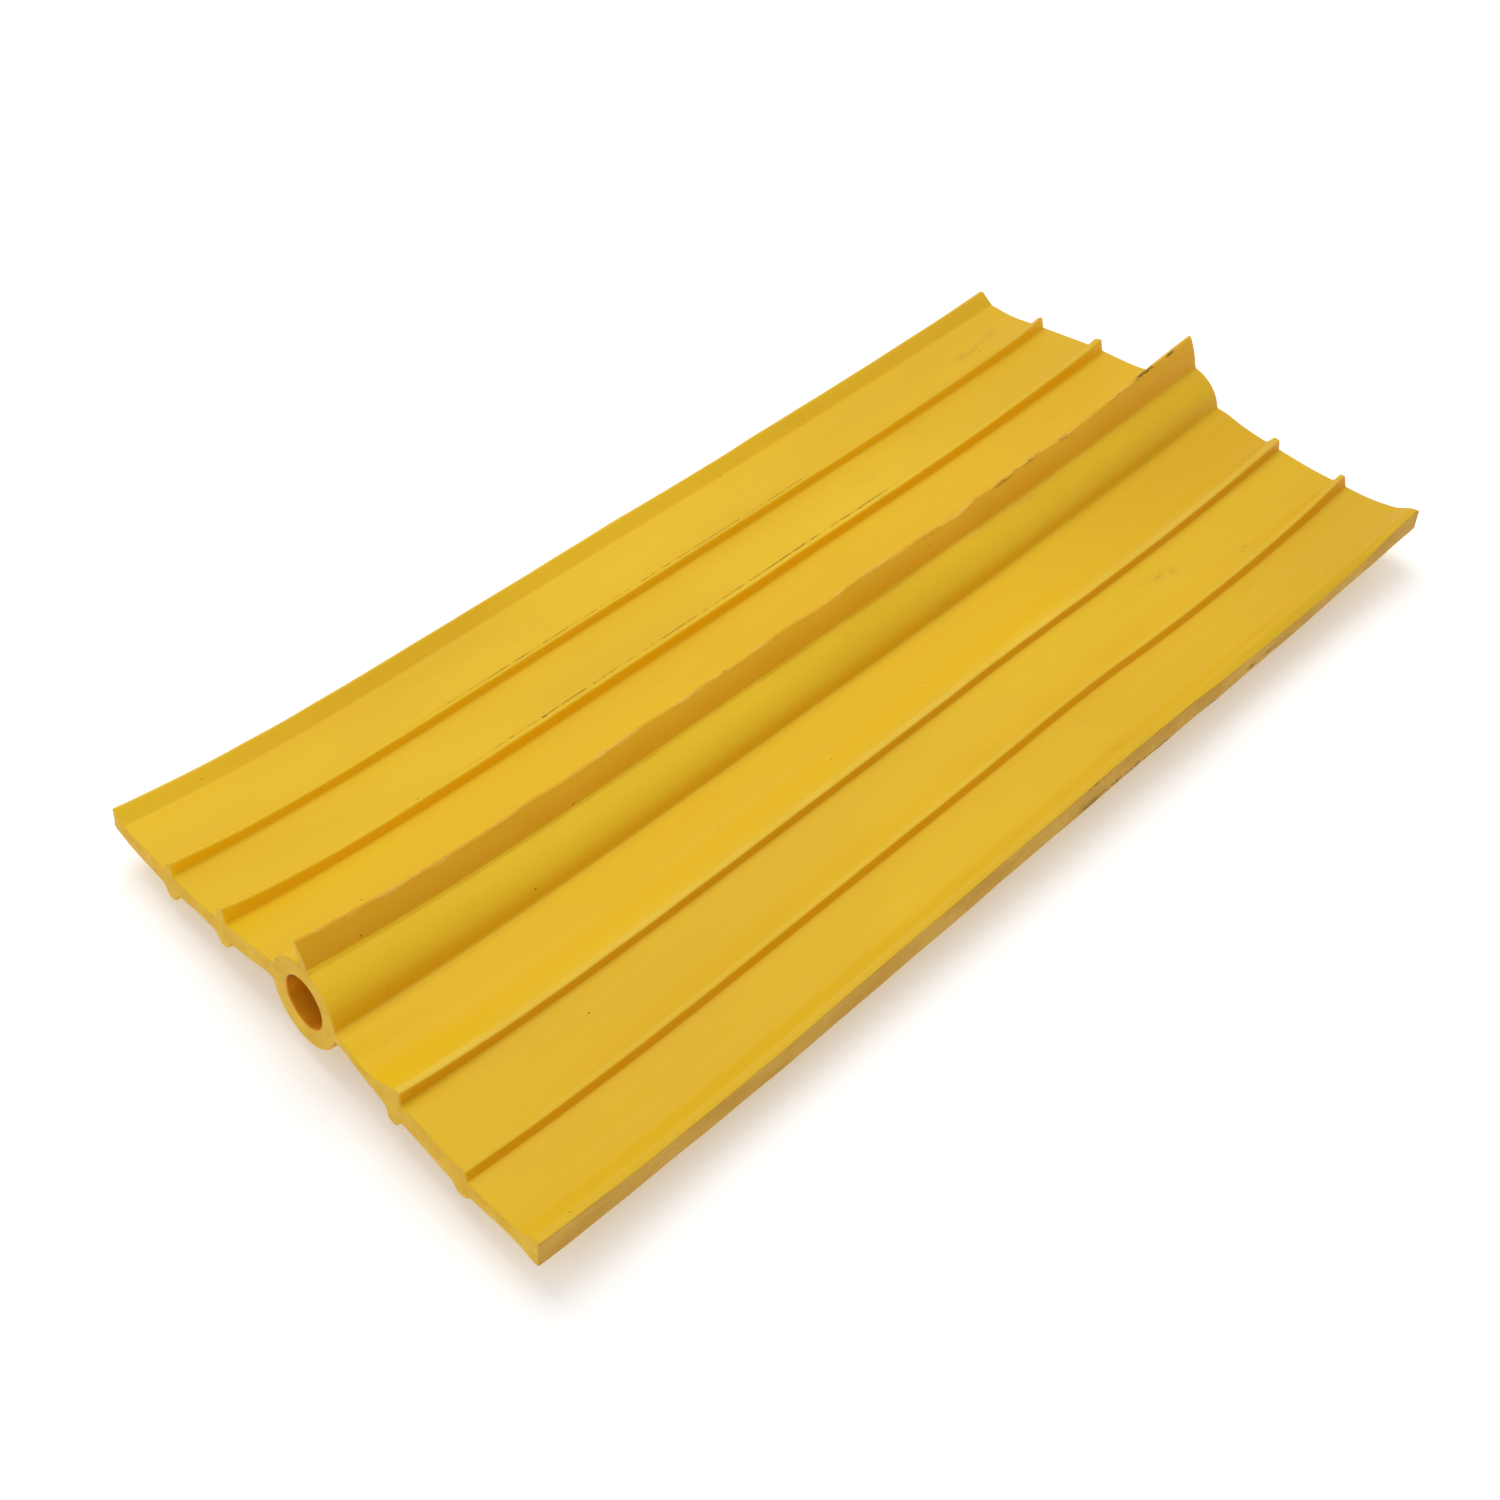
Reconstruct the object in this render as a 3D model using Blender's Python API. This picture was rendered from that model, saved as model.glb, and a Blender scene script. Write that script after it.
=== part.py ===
"""Ribbed centre-bulb waterstop: one cut length of soft PVC extrusion, lying on its bulb.

The strip is one moulding in real life. It bends at the thin webs between its ribs and at the
root of the fin, so each stiff zone between two of those lines is a node of its own.
Frame: +Y along the strip, +X towards the right wing, +Z up, lowest point at z = 0.
"""
import math

import bmesh
import bpy

MM = 0.001

# Overall sizes
WIDTH = 152 * MM
LENGTH = 302 * MM
STATIONS = 19

# Bulb and bore
BULB_RADIUS = 11.1 * MM
BORE_RADIUS = 6.35 * MM
BULB_CENTRE_H = 1.0 * MM
BORE_OVERRUN = 0.03

# Web, ribs and edge bead, as heights from the middle of the web
WEB_HALF_THIN = 1.9 * MM
WEB_HALF_THICK = 2.5 * MM
WEB_ROOT_HALF = 2.4 * MM
RIB_X = (31.0 * MM, 52.2 * MM)
RIB_TOP_H = 5.5 * MM
RIB_FOOT_H = 5.4 * MM
RIB_TIP_HALF = 0.8 * MM
RIB_BASE_HALF = 2.0 * MM
CREASE_X = 72.4 * MM
LIP_TOP_H = 4.9 * MM
BEAD_FOOT_H = 2.6 * MM
BEAD_START_X = 69.5 * MM

# Flex lines: middle of each thin web, and the gap between two stiff zones
FLEX_X = (21.2 * MM, 41.6 * MM, 62.4 * MM)
FLEX_GAP = 2.0 * MM

# Fin on the crown of the bulb: near end, middle and far end
FIN_ROOT_X = (0.8 * MM, 1.0 * MM, 1.2 * MM)
FIN_TIP_X = (-2.2 * MM, -1.2 * MM, -1.0 * MM)
FIN_TIP_H = (17.0 * MM, 17.8 * MM, 21.0 * MM)
FIN_ROOT_HALF = 1.15 * MM
FIN_TIP_HALF = 0.5 * MM
FIN_GAP = 0.8 * MM

# Rest shape along the length: both cut ends curl up from the flat middle
NEAR_CURL = 5.45 * MM
NEAR_CURL_REACH = 0.30
NEAR_CURL_POWER = 2.7
FAR_CURL = 5.45 * MM
FAR_CURL_REACH = 0.60
FAR_CURL_POWER = 2.75

# Rest shape across the width: web height against the bulb at the near end, middle and far end
WING_X = (11.0 * MM, 31.0 * MM, 52.0 * MM, 76.0 * MM)
LEFT_WING = ((0.0, -1.9, -4.0, -5.2), (0.0, -0.5, -1.8, -2.1), (0.0, -0.2, -2.1, -3.1))
RIGHT_WING = ((0.0, -2.7, -5.3, -3.7), (0.0, -1.8, -2.8, 0.3), (0.0, -2.7, -4.1, -1.6))

# The bulb's underside touches the floor at the flat middle of the strip, and the shift centres
# the strip, because its two cut faces lean by different amounts
DATUM_Z = BULB_RADIUS - BULB_CENTRE_H
CENTRING_Y = 0.46 * MM

PVC_YELLOW = (0.80, 0.50, 0.045)
FIN_YELLOW = (0.76, 0.45, 0.04)
EDGE_YELLOW = (0.77, 0.47, 0.05)


def curl(t):
    """Height of the web's middle above the flat part, at fraction t of the length."""
    near = max(0.0, 1.0 - t / NEAR_CURL_REACH)
    far = max(0.0, (t - 1.0) / FAR_CURL_REACH + 1.0)
    return NEAR_CURL * near ** NEAR_CURL_POWER + FAR_CURL * far ** FAR_CURL_POWER


def curl_slope(t):
    step = 0.001
    return (curl(t + step) - curl(t - step)) / (2 * step * LENGTH)


def along(values, t):
    """Value at t of the parabola through its near, middle and far values."""
    near, middle, far = values
    return (near * (1 - t) * (1 - 2 * t) + middle * 4 * t * (1 - t) + far * t * (2 * t - 1))


def wing_rise(x, t):
    """Height of the web at x against the bulb, from a smooth curve across the wing."""
    reach = abs(x)
    if reach <= WING_X[0]:
        return 0.0
    wing = RIGHT_WING if x > 0 else LEFT_WING
    heights = [along((wing[0][k], wing[1][k], wing[2][k]), t) * MM for k in range(4)]
    tangents = [0.0]
    for k in (1, 2):
        tangents.append((heights[k + 1] - heights[k - 1]) / (WING_X[k + 1] - WING_X[k - 1]))
    tangents.append((heights[3] - heights[2]) / (WING_X[3] - WING_X[2]))
    k = 0 if reach < WING_X[1] else 1 if reach < WING_X[2] else 2
    span = WING_X[k + 1] - WING_X[k]
    u = (reach - WING_X[k]) / span
    return (heights[k] * (2 * u ** 3 - 3 * u ** 2 + 1)
            + tangents[k] * span * (u ** 3 - 2 * u ** 2 + u)
            + heights[k + 1] * (3 * u ** 2 - 2 * u ** 3)
            + tangents[k + 1] * span * (u ** 3 - u ** 2))


def wing_slope(x, t):
    step = 0.0002
    return (wing_rise(x + step, t) - wing_rise(x - step, t)) / (2 * step)


def place(x, h, t):
    """Section point (x, h) at fraction t of the length, carried onto the bent strip."""
    tilt = math.atan(curl_slope(t))
    height = wing_rise(x, t) + h
    return (x - h * wing_slope(x, t),
            (t - 0.5) * LENGTH + CENTRING_Y - height * math.sin(tilt),
            DATUM_Z + curl(t) + height * math.cos(tilt))


def filleted(corners, segments=3):
    """Closed outline from (x, h, radius) corners, each corner rounded by its own radius."""
    outline = []
    count = len(corners)
    for index, (x, h, radius) in enumerate(corners):
        if radius == 0:
            outline.append((x, h))
            continue
        before = corners[index - 1]
        after = corners[(index + 1) % count]
        to_before = (before[0] - x, before[1] - h)
        to_after = (after[0] - x, after[1] - h)
        len_before = math.hypot(*to_before)
        len_after = math.hypot(*to_after)
        a = (to_before[0] / len_before, to_before[1] / len_before)
        b = (to_after[0] / len_after, to_after[1] / len_after)
        half = math.acos(max(-1.0, min(1.0, a[0] * b[0] + a[1] * b[1]))) / 2
        reach = radius / math.tan(half)
        centre_distance = radius / math.sin(half)
        middle = (a[0] + b[0], a[1] + b[1])
        size = math.hypot(*middle)
        centre = (x + middle[0] / size * centre_distance, h + middle[1] / size * centre_distance)
        start = (x + a[0] * reach - centre[0], h + a[1] * reach - centre[1])
        end = (x + b[0] * reach - centre[0], h + b[1] * reach - centre[1])
        turn = math.atan2(start[0] * end[1] - start[1] * end[0], start[0] * end[0] + start[1] * end[1])
        steps = max(1, round(segments * abs(turn) / (math.pi / 2)))
        for step in range(steps + 1):
            angle = turn * step / steps
            outline.append((centre[0] + start[0] * math.cos(angle) - start[1] * math.sin(angle),
                            centre[1] + start[0] * math.sin(angle) + start[1] * math.cos(angle)))
    return outline


def mirrored(outline):
    return [(-x, h) for x, h in reversed(outline)]


def swept(name, outline_at, t_start=0.0, t_end=1.0, stations=STATIONS):
    """One closed solid: the outline carried along the bent strip and capped at both ends."""
    mesh = bpy.data.meshes.new(name)
    body = bmesh.new()
    rings = []
    for station in range(stations):
        t = t_start + (t_end - t_start) * station / (stations - 1)
        rings.append([body.verts.new(place(x, h, t)) for x, h in outline_at(t)])
    count = len(rings[0])
    for first, second in zip(rings, rings[1:]):
        for k in range(count):
            following = (k + 1) % count
            body.faces.new((first[k], first[following], second[following], second[k]))
    body.faces.new(list(reversed(rings[0])))
    body.faces.new(rings[-1])
    bmesh.ops.recalc_face_normals(body, faces=body.faces)
    for face in body.faces:
        face.smooth = True
    body.to_mesh(mesh)
    body.free()
    mesh.set_sharp_from_angle(angle=math.radians(40))
    solid = bpy.data.objects.new(name, mesh)
    bpy.context.scene.collection.objects.link(solid)
    return solid


def paint(solid, colour, roughness):
    material = bpy.data.materials.new(solid.name + "_pvc")
    material.use_nodes = True
    shader = material.node_tree.nodes["Principled BSDF"]
    shader.inputs["Base Color"].default_value = (*colour, 1.0)
    shader.inputs["Roughness"].default_value = roughness
    shader.inputs["Metallic"].default_value = 0.0
    solid.data.materials.append(material)


def bulb_outline():
    """Round bulb with a stub of web on each side, out to the first flex lines."""
    stub = FLEX_X[0] - FLEX_GAP / 2
    nose = WEB_HALF_THIN * 0.97
    top_angle = math.asin((WEB_ROOT_HALF - BULB_CENTRE_H) / BULB_RADIUS)
    low_angle = math.asin((WEB_ROOT_HALF + BULB_CENTRE_H) / BULB_RADIUS)
    arc_steps = 16
    corners = [(stub, -WEB_HALF_THIN, nose), (stub, WEB_HALF_THIN, nose)]
    for step in range(arc_steps + 1):
        angle = top_angle + (math.pi - 2 * top_angle) * step / arc_steps
        corners.append((BULB_RADIUS * math.cos(angle), BULB_CENTRE_H + BULB_RADIUS * math.sin(angle), 0))
    corners += [(-stub, WEB_HALF_THIN, nose), (-stub, -WEB_HALF_THIN, nose)]
    for step in range(arc_steps + 1):
        angle = math.pi + low_angle + (math.pi - 2 * low_angle) * step / arc_steps
        corners.append((BULB_RADIUS * math.cos(angle), BULB_CENTRE_H + BULB_RADIUS * math.sin(angle), 0))
    return filleted(corners)


def bore_outline():
    sides = 28
    return [(BORE_RADIUS * math.cos(2 * math.pi * k / sides),
             BULB_CENTRE_H + BORE_RADIUS * math.sin(2 * math.pi * k / sides)) for k in range(sides)]


def rib_panel_outline(start_x, end_x, rib_x):
    """Web between two flex lines, with one rib standing up and one foot hanging down."""
    nose = WEB_HALF_THIN * 0.97
    root = 0.8 * MM
    tip = 0.6 * MM
    low_x = start_x + FLEX_GAP / 2
    high_x = end_x - FLEX_GAP / 2
    return filleted([
        (low_x, -WEB_HALF_THIN, nose),
        (rib_x - RIB_BASE_HALF, -WEB_HALF_THICK, root),
        (rib_x - RIB_TIP_HALF, -RIB_FOOT_H, tip),
        (rib_x + RIB_TIP_HALF, -RIB_FOOT_H, tip),
        (rib_x + RIB_BASE_HALF, -WEB_HALF_THICK, root),
        (high_x, -WEB_HALF_THIN, nose),
        (high_x, WEB_HALF_THIN, nose),
        (rib_x + RIB_BASE_HALF, WEB_HALF_THICK, root),
        (rib_x + RIB_TIP_HALF, RIB_TOP_H, tip),
        (rib_x - RIB_TIP_HALF, RIB_TOP_H, tip),
        (rib_x - RIB_BASE_HALF, WEB_HALF_THICK, root),
        (low_x, WEB_HALF_THIN, nose),
    ])


def edge_panel_outline():
    """Outer web with the flared bead that runs along the strip's long edge."""
    low_x = FLEX_X[2] + FLEX_GAP / 2
    nose = WEB_HALF_THIN * 0.97
    edge = WIDTH / 2
    return filleted([
        (low_x, -WEB_HALF_THIN, nose),
        (BEAD_START_X, -WEB_HALF_THIN, 2.0 * MM),
        (edge - 1.6 * MM, -BEAD_FOOT_H, 0.6 * MM),
        (edge - 0.2 * MM, -BEAD_FOOT_H, 0.6 * MM),
        (edge, LIP_TOP_H, 0.5 * MM),
        (edge - 1.3 * MM, LIP_TOP_H, 0.5 * MM),
        (CREASE_X, WEB_HALF_THIN + 0.2 * MM, 1.2 * MM),
        (low_x, WEB_HALF_THIN, nose),
    ])


def fin_outline(t):
    """Thin tapered fin, leaning left, standing just clear of the bulb's crown."""
    root_x = along(FIN_ROOT_X, t)
    tip_x = along(FIN_TIP_X, t)
    tip_h = along(FIN_TIP_H, t)
    root_h = BULB_CENTRE_H + BULB_RADIUS + FIN_GAP
    return filleted([
        (root_x - FIN_ROOT_HALF, root_h, 0.7 * MM),
        (root_x + FIN_ROOT_HALF, root_h, 0.7 * MM),
        (tip_x + FIN_TIP_HALF, tip_h, 0.3 * MM),
        (tip_x - FIN_TIP_HALF, tip_h, 0.3 * MM),
    ])


def build_bulb():
    bulb = swept("centre_bulb", lambda t: bulb_outline())
    cutter = swept("bulb_bore_cutter", lambda t: bore_outline(),
                   -BORE_OVERRUN, 1 + BORE_OVERRUN, STATIONS)
    cutter.hide_render = True
    cutter.display_type = "WIRE"
    bore = bulb.modifiers.new("bore", "BOOLEAN")
    bore.operation = "DIFFERENCE"
    bore.solver = "EXACT"
    bore.object = cutter
    paint(bulb, PVC_YELLOW, 0.45)


def build_wing(side, flip):
    inner = rib_panel_outline(FLEX_X[0], FLEX_X[1], RIB_X[0])
    outer = rib_panel_outline(FLEX_X[1], FLEX_X[2], RIB_X[1])
    edge = edge_panel_outline()
    if flip:
        inner, outer, edge = mirrored(inner), mirrored(outer), mirrored(edge)
    paint(swept(side + "_inner_rib_panel", lambda t: inner), PVC_YELLOW, 0.45)
    paint(swept(side + "_outer_rib_panel", lambda t: outer), PVC_YELLOW, 0.45)
    paint(swept(side + "_edge_panel", lambda t: edge), EDGE_YELLOW, 0.5)


for existing in list(bpy.data.objects):
    bpy.data.objects.remove(existing, do_unlink=True)

build_bulb()
paint(swept("centre_fin", fin_outline), FIN_YELLOW, 0.45)
build_wing("left", True)
build_wing("right", False)
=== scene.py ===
"""Looks for the ribbed centre-bulb waterstop: a cut length of soft yellow PVC strip.

Eight closed skins stand for the eight CAD solids. They meet on the crests of the ribs and just
outside the bulb. A point of a skin is worked out as (x, h) in the strip's section and t along
its length, as in the CAD part, and is then carried onto the strip's curled rest shape.
"""
import math

import bmesh
import bpy
from mathutils import Matrix, Vector, noise


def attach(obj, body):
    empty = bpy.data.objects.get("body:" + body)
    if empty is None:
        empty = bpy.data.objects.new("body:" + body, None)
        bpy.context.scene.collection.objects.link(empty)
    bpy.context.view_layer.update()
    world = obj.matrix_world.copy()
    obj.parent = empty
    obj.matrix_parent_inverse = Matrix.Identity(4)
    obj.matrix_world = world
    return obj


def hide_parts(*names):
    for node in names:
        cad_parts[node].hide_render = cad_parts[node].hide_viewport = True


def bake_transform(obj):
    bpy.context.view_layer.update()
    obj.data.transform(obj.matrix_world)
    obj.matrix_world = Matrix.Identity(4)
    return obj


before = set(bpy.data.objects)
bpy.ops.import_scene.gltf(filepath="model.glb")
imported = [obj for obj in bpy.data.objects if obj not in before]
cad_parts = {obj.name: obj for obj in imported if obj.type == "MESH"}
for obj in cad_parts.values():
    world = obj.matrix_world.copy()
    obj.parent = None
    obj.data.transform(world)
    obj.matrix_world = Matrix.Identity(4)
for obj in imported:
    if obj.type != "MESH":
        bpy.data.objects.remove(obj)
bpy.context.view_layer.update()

MM = 0.001

# Overall sizes, from the CAD part
WIDTH = 152 * MM
LENGTH = 302 * MM
CENTRING_Y = 0.46 * MM

# Bulb and bore; the shifts of the bulb are at the near end, the middle and the far end
BULB_RADIUS = 11.1 * MM
BORE_RADIUS = 6.35 * MM
BULB_CENTRE_H = 1.0 * MM
BULB_FILLET = 0.8 * MM
DATUM_Z = BULB_RADIUS - BULB_CENTRE_H
BULB_SHIFT_X = (-0.35 * MM, 0.0, 0.5 * MM)
BULB_SHIFT_H = (-0.2 * MM, 0.0, 0.15 * MM)
BORE_SHIFT = (0.35 * MM, 0.35 * MM)

# Web, ribs, feet and edge bead, as heights from the middle of the web
WEB_HALF = 2.5 * MM
WEB_ROOT_RAMP = 1.1 * MM
RIB_X = (31.0 * MM, 52.2 * MM)
RIB_RISE = {"left": (2.85 * MM, 2.6 * MM), "right": (2.2 * MM, 2.1 * MM)}
RIB_TIP_ROUND = 0.5 * MM
# How much higher the inner and the outer rib stand at the near and at the far end, in
# millimetres, and over what part of the length that fades out
RIB_END_RISE = {"left": (1.3, 0.8), "right": (1.3, 0.0)}
RIB_END_REACH = 0.12
RIB_FAR_RISE = {"left": (1.0, 1.0), "right": (0.8, 1.1)}
RIB_FAR_REACH = 0.25
RIB_UNEVEN = 0.12
# Profiles of the inner and the outer rib, in millimetres outwards from the seam on the crest:
# inner base, inner tip, outer tip and outer base
RIB_PROFILE = {
    "left": ((-2.25, -1.7, 0.6, 1.6), (-1.85, -1.4, 0.4, 1.6)),
    "right": ((-8.5, -0.7, 1.0, 1.7), (-7.5, -0.3, 1.15, 1.9)),
}
RIB_OUTER_DROP = {"left": 0.9 * MM, "right": 0.0}
RIB_INNER_FILLET = {"left": 0.25 * MM, "right": 18.0 * MM}
# Inner base and its fillet at the far end, where the right ribs' gentle inner slope turns sharp
RIB_SHARP_REACH = 0.15
RIB_SHARP_BASE = {"left": (-2.25 * MM, -1.85 * MM), "right": (-2.5 * MM, -2.0 * MM)}
RIB_SHARP_FILLET = {"left": 0.25 * MM, "right": 1.4 * MM}
RIB_OUTER_FILLET = {"left": 1.0 * MM, "right": 0.25 * MM}
FOOT_DROP = {"left": (2.6 * MM, 2.8 * MM), "right": (2.85 * MM, 1.6 * MM)}
FOOT_TIP_HALF = 1.2 * MM
FOOT_BASE_HALF = 2.7 * MM
FOOT_FILLET = 1.4 * MM
# Edge bead: the crease where it rises from the web, and the ridge along its inner corner, with
# the ridge's height in millimetres at the near end, the middle and the far end
CREASE_X = {"left": 71.5 * MM, "right": 70.2 * MM}
CREASE_ROUND = {"left": 1.2 * MM, "right": 4.0 * MM}
LIP_RIDGE_X = {"left": 75.0 * MM, "right": 74.0 * MM}
LIP_RIDGE_H = {"left": (5.4, 5.3, 5.4), "right": (4.1, 4.0, 3.8)}
LIP_RIDGE_ROUND = {"left": 0.35 * MM, "right": 1.4 * MM}
BEAD_START_X = 70.0 * MM
BEAD_START_ROUND = 2.0 * MM
BEAD_TOP_ROUND = 0.3 * MM
BEAD_LOW_ROUND = 0.5 * MM
BEAD_CHAMFER = 1.6 * MM
EDGE_INSET = 0.15 * MM
EDGE_UNEVEN = 0.2 * MM

# How far the far corners stand out sideways
EDGE_SPREAD = {"left": 0.7 * MM, "right": 0.3 * MM}
EDGE_SPREAD_REACH = 0.2

# Heights in millimetres of the upper and lower corners of the hand-trimmed outer faces, along
# the length
TRIM_T = (0.0, 0.1, 0.3, 0.45, 0.56, 0.66, 0.78, 0.9, 1.0)
TRIM_TOP = {
    "left": (5.1, 5.0, 5.0, 4.9, 5.0, 4.9, 5.0, 5.0, 5.0),
    "right": (3.9, 3.5, 3.6, 3.5, 3.6, 3.4, 2.2, 2.2, 4.0),
}
TRIM_LOW = {
    "left": (-1.6, -2.0, -2.2, -2.0, -2.3, -2.1, -2.2, -2.5, -2.6),
    "right": (-3.0, -2.2, -2.4, -2.3, -2.4, -2.3, -2.3, -1.8, -2.3),
}
HAND_CUT = 0.25

# Skins meet here, beside the bulb and on the rib crests
SEAM_X = (13.0 * MM, RIB_X[0], RIB_X[1], WIDTH / 2)

# Fin on the crown of the bulb: root and tip at the near end, middle and far end, and the
# heights in millimetres that its hand-trimmed top edge runs through
FIN_ROOT_X = (1.15 * MM, 1.0 * MM, 1.3 * MM)
FIN_TIP_X = (-1.95 * MM, -1.2 * MM, -0.8 * MM)
FIN_TRIM = (
    (0.0, 17.7), (0.06, 17.3), (0.18, 17.3), (0.21, 18.2), (0.24, 17.4), (0.31, 18.5),
    (0.35, 17.8), (0.38, 18.5), (0.41, 18.0), (0.46, 18.9), (0.51, 18.0), (0.55, 19.0),
    (0.62, 18.3), (0.67, 17.5), (0.7, 18.9), (0.73, 18.4), (0.76, 19.3), (0.83, 18.6),
    (0.9, 20.3), (1.0, 21.3))
FIN_ROOT_HALF = 1.25 * MM
FIN_TIP_HALF = 0.5 * MM
FIN_FLARE = 0.25 * MM
FIN_EMBED = 0.4 * MM
FIN_TIP_FLATNESS = 0.6
FIN_CHATTER = (0.15, 0.08)

# Rest shape along the length and across the width, from the CAD part; the wings' heights are
# in millimetres at WING_X, for the near end, the middle and the far end
NEAR_CURL = 5.45 * MM
NEAR_CURL_REACH = 0.30
NEAR_CURL_POWER = 2.7
FAR_CURL = 5.45 * MM
FAR_CURL_REACH = 0.60
FAR_CURL_POWER = 2.75
WING_X = (11.0 * MM, 31.0 * MM, 52.0 * MM, 76.0 * MM)
LEFT_WING = ((0.0, -1.9, -4.0, -5.2), (0.0, -0.5, -1.8, -2.1), (0.0, -0.2, -2.1, -3.1))
RIGHT_WING = ((0.0, -2.7, -5.3, -3.7), (0.0, -1.8, -2.8, 0.3), (0.0, -2.7, -4.1, -1.6))

# How far in millimetres the soft web has settled out of true towards its cut ends: its top and
# underside at the near end, and both together at the far end, at these places across the strip
SETTLE_X = (13.0, 20.0, 31.0, 42.0, 52.0, 64.0, 76.0)
SETTLE = {
    "left": ((0.3, 0.2, -0.7, -1.1, -0.5, 0.1, 0.6),
             (1.4, 0.2, -0.5, 0.1, -0.4, 0.4, 1.5),
             (0.0, -0.1, -0.15, -0.25, -0.7, -1.5, -0.6)),
    "right": ((-1.3, -2.4, -0.3, 1.4, 0.2, -0.2, 0.4),
              (1.0, 0.1, -0.3, 0.4, 0.5, 1.2, 0.4),
              (0.0, -0.7, -0.3, -0.1, 0.2, -0.6, 0.0)),
}
SETTLE_REACH = (0.22, 0.35)
WEB_ROOT_FADE = 3.5

# The underside is hollowed between the feet
BAYS = ((13.0 * MM, 28.0 * MM), (34.0 * MM, 49.4 * MM), (55.2 * MM, 71.0 * MM))
BAY_HOLLOW = 0.8 * MM

# Hump and sag of the wings along the length, and their heights in millimetres beside the bulb,
# at the two ribs and at the edge
SWELL_T = (0.0, 0.45, 0.53, 0.6, 0.66, 0.72, 0.78, 0.86, 0.94, 1.0)
HUMP = (0.0, 0.0, 0.4, 1.0, 0.5, 0.0, 0.0, 0.0, 0.0, 0.0)
SAG = (0.0, 0.0, 0.0, 0.0, 0.0, 0.42, 0.8, 1.0, 0.82, 0.4)
SWELL_X = (13.0, 31.0, 52.0, 76.0)
HUMP_H = {"left": (0.0, 0.3, 0.0, 0.0), "right": (0.0, 0.55, 0.85, 0.6)}
SAG_H = {"left": (0.0, 0.0, 0.0, 0.0), "right": (0.0, -0.5, -1.5, -0.8)}

# Sideways drift of the inner and the outer rib in millimetres, outwards from the bulb: all
# along, more at the near end, more where the wing sags and more at the far end. It holds over
# WANDER_HOLD on both sides of a rib and fades out over the same distance again.
RIB_WANDER = {
    "left": ((0.05, 0.45, -0.15, 0.4), (0.3, 0.2, -0.35, 0.6)),
    "right": ((-0.15, 0.0, 0.3, -0.1), (0.2, 0.0, 0.6, 0.0)),
}

WANDER_HOLD = 4.0 * MM
WANDER_REACH = (0.06, 0.05)

# Softened cut edges, and the slight unevenness of the whole strip
CUT_ROUND = 0.2 * MM
RIPPLE = 0.1 * MM

# Mesh fineness
STATIONS = 121
FIN_STATIONS = 241
FIN_SIDE_STEPS = 14
FIN_TIP_STEPS = 4
FIN_BASE_POINTS = 7
ARC_STEPS = 4
WEB_SPANS = 14
BULB_SPANS = 44
SHARP_ANGLE = math.radians(38)

# Light
WORLD_STRENGTH = 0.72
LAMP_AT = (-0.55, 0.25, 1.5)
LAMP_SIZE = 1.2
LAMP_WATTS = 10.2
FLOOR_GLOW = 0.2
FLOOR_HALF = 3.0
FLOOR_COLOUR = (0.9, 0.9, 0.9, 1.0)
WHITE = (1.0, 1.0, 1.0, 1.0)

# Camera, at the photograph's viewing angle
CAMERA_AT = Vector((0.21857, -0.23211, 0.31526))
CAMERA_YAW = math.radians(46.204)
CAMERA_PITCH = math.radians(46.384)
CAMERA_ROLL = math.radians(0.693)
CAMERA_LENS = 42.54
CAMERA_SENSOR = 36.0


def curl(t):
    """Height of the web's middle above the flat part, at fraction t of the length."""
    near = max(0.0, 1.0 - t / NEAR_CURL_REACH)
    far = max(0.0, (t - 1.0) / FAR_CURL_REACH + 1.0)
    return NEAR_CURL * near ** NEAR_CURL_POWER + FAR_CURL * far ** FAR_CURL_POWER


def curl_slope(t):
    step = 0.001
    return (curl(t + step) - curl(t - step)) / (2 * step * LENGTH)


def along(values, t):
    """Value at t of the parabola through its near, middle and far values."""
    near, middle, far = values
    return near * (1 - t) * (1 - 2 * t) + middle * 4 * t * (1 - t) + far * t * (2 * t - 1)


def hermite(places, values, tangents, x):
    """Smooth curve through the values, with the given slopes, held level past its ends."""
    x = min(max(x, places[0]), places[-1])
    k = max(i for i in range(len(places) - 1) if x >= places[i])
    span = places[k + 1] - places[k]
    u = (x - places[k]) / span
    return (values[k] * (2 * u ** 3 - 3 * u ** 2 + 1)
            + tangents[k] * span * (u ** 3 - 2 * u ** 2 + u)
            + values[k + 1] * (3 * u ** 2 - 2 * u ** 3)
            + tangents[k + 1] * span * (u ** 3 - u ** 2))


def smooth_through(places, values, x):
    """Smooth curve through the values, level at both ends."""
    tangents = [0.0]
    for k in range(1, len(places) - 1):
        tangents.append((values[k + 1] - values[k - 1]) / (places[k + 1] - places[k - 1]))
    return hermite(places, values, tangents + [0.0], x)


def wing_rise(x, t):
    """Height of the web at x against the bulb, from a smooth curve across the wing."""
    reach = abs(x)
    if reach <= WING_X[0]:
        return 0.0
    wing = RIGHT_WING if x > 0 else LEFT_WING
    heights = [along((wing[0][k], wing[1][k], wing[2][k]), t) * MM for k in range(4)]
    tangents = [0.0]
    for k in (1, 2):
        tangents.append((heights[k + 1] - heights[k - 1]) / (WING_X[k + 1] - WING_X[k - 1]))
    tangents.append((heights[3] - heights[2]) / (WING_X[3] - WING_X[2]))
    return hermite(WING_X, heights, tangents, reach)


def wing_slope(x, t):
    step = 0.0002
    return (wing_rise(x + step, t) - wing_rise(x - step, t)) / (2 * step)


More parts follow.
